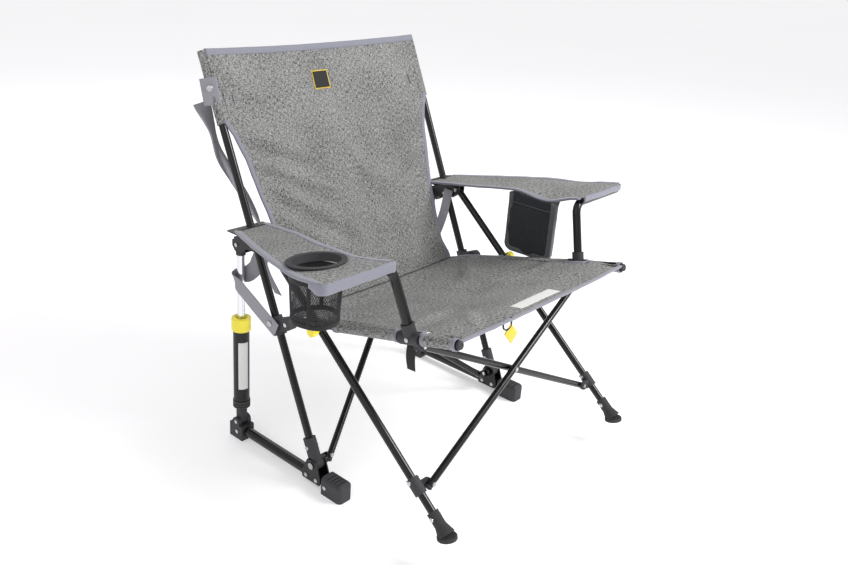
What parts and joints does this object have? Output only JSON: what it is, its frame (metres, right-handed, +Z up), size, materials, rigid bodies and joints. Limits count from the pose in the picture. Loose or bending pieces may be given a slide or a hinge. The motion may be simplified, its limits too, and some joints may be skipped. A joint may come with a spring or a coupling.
{
  "type": "camp rocking chair",
  "caption": "Folding camp chair that rocks on spring struts over two short ground tubes, with cloth seat, back and armrests, a cup holder and a phone pocket.",
  "frame": {"origin": "on the floor under the middle of the chair's bounding box", "axes": "+Z up, the occupant faces -Y, the occupant's right is -X"},
  "size_m": [0.924, 0.7212, 0.8245],
  "materials": {
    "black_frame": "gloss powder coat",
    "black_steel": "satin powder coat",
    "black_moulding": "fine texture",
    "black_rubber": "matt",
    "yellow_moulding": "smooth",
    "polished_rod": "polished",
    "steel_fasteners": "plated",
    "spring_steel": "oiled",
    "grey_cloth": "woven melange",
    "black_mesh": "open mesh",
    "grey_webbing": "flat webbing",
    "yellow_webbing": "smooth tape",
    "black_label": "woven label"
  },
  "bodies": {
    "right_base": {"right_base_tube": "black_frame", "right_base_foot": "black_moulding", "right_base_hub": "black_moulding", "right_base_gussets": "black_steel", "right_base_fasteners": "steel_fasteners"},
    "seat_frame": {"arm_plates": "black_steel", "back_panel": "grey_cloth", "care_label": "black_label", "carry_strap": "grey_webbing", "corner_straps": "grey_webbing", "cup_basket": "black_mesh", "cup_ring": "black_moulding", "frame_pins": "steel_fasteners", "frame_rivets": "steel_fasteners", "front_boots": "black_rubber", "front_cross_clamps": "black_moulding", "front_cross_left": "black_frame", "front_cross_right": "black_frame", "left_arm_hub": "black_steel", "left_arm_post": "black_frame", "left_armrest": "grey_cloth", "left_front_leg": "black_frame", "left_leg_socket": "black_moulding", "left_rail_bracket": "black_moulding", "left_rear_leg": "black_frame", "left_seat_rail": "black_frame", "phone_pocket": "grey_cloth", "pivot_knobs": "yellow_moulding", "pull_tag": "yellow_webbing", "rail_collars": "black_moulding", "rear_cross_feet": "black_steel", "rear_cross_left": "black_frame", "rear_cross_lugs": "black_steel", "rear_cross_right": "black_frame", "right_arm_hub": "black_steel", "right_arm_post": "black_frame", "right_armrest": "grey_cloth", "right_front_leg": "black_frame", "right_leg_socket": "black_moulding", "right_rail_bracket": "black_moulding", "right_rear_leg": "black_frame", "right_seat_rail": "black_frame", "seat_panel": "grey_cloth"},
    "left_base": {"left_base_tube": "black_frame", "left_base_foot": "black_moulding", "left_base_hub": "black_moulding", "left_base_gussets": "black_steel", "left_base_fasteners": "steel_fasteners"},
    "right_cylinder": {"right_strut_clevis": "black_moulding", "right_strut_cylinder": "black_steel", "right_strut_cap": "yellow_moulding", "right_strut_spring": "spring_steel"},
    "right_rod": {"right_strut_rod": "polished_rod", "right_rod_end": "black_moulding"},
    "left_cylinder": {"left_strut_clevis": "black_moulding", "left_strut_cylinder": "black_steel", "left_strut_cap": "yellow_moulding", "left_strut_spring": "spring_steel"},
    "left_rod": {"left_strut_rod": "polished_rod", "left_rod_end": "black_moulding"}
  },
  "joints": [
    {"name": "rock", "type": "hinge", "parent": "right_base", "child": "seat_frame", "pos_m": [0, 0.0042, 0.048], "axis": [-1, 0, 0], "range_deg": [0, 12], "stiffness_Nm_per_rad": 300, "springref_deg": -8.59},
    {"name": "left_base_turn", "type": "hinge", "parent": "seat_frame", "child": "left_base", "pos_m": [0.294, 0.0042, 0.048], "axis": [-1, 0, 0], "range_deg": [-12.2, 0]},
    {"name": "right_strut_tilt", "type": "hinge", "parent": "right_base", "child": "right_cylinder", "pos_m": [-0.294, 0.2472, 0.04], "axis": [-1, 0, 0], "range_deg": [0, 12.6]},
    {"name": "right_strut_travel", "type": "slide", "parent": "right_cylinder", "child": "right_rod", "axis": [0, 0.0145, -0.9999], "range_m": [0, 0.0515], "deforming": ["right_strut_spring"]},
    {"name": "left_strut_tilt", "type": "hinge", "parent": "left_base", "child": "left_cylinder", "pos_m": [0.294, 0.2472, 0.04], "axis": [-1, 0, 0], "range_deg": [0, 12.6]},
    {"name": "left_strut_travel", "type": "slide", "parent": "left_cylinder", "child": "left_rod", "axis": [0, 0.0145, -0.9999], "range_m": [0, 0.0515], "deforming": ["left_strut_spring"]}
  ],
  "couplings": [
    {"joint": "left_base_turn", "follows": "rock", "ratio": -1},
    {"joint": "right_strut_tilt", "follows": "rock", "ratio": 1.026},
    {"joint": "right_strut_travel", "follows": "rock", "m_per_rad": 0.243},
    {"joint": "left_strut_tilt", "follows": "rock", "ratio": 1.026},
    {"joint": "left_strut_travel", "follows": "rock", "m_per_rad": 0.243}
  ]
}
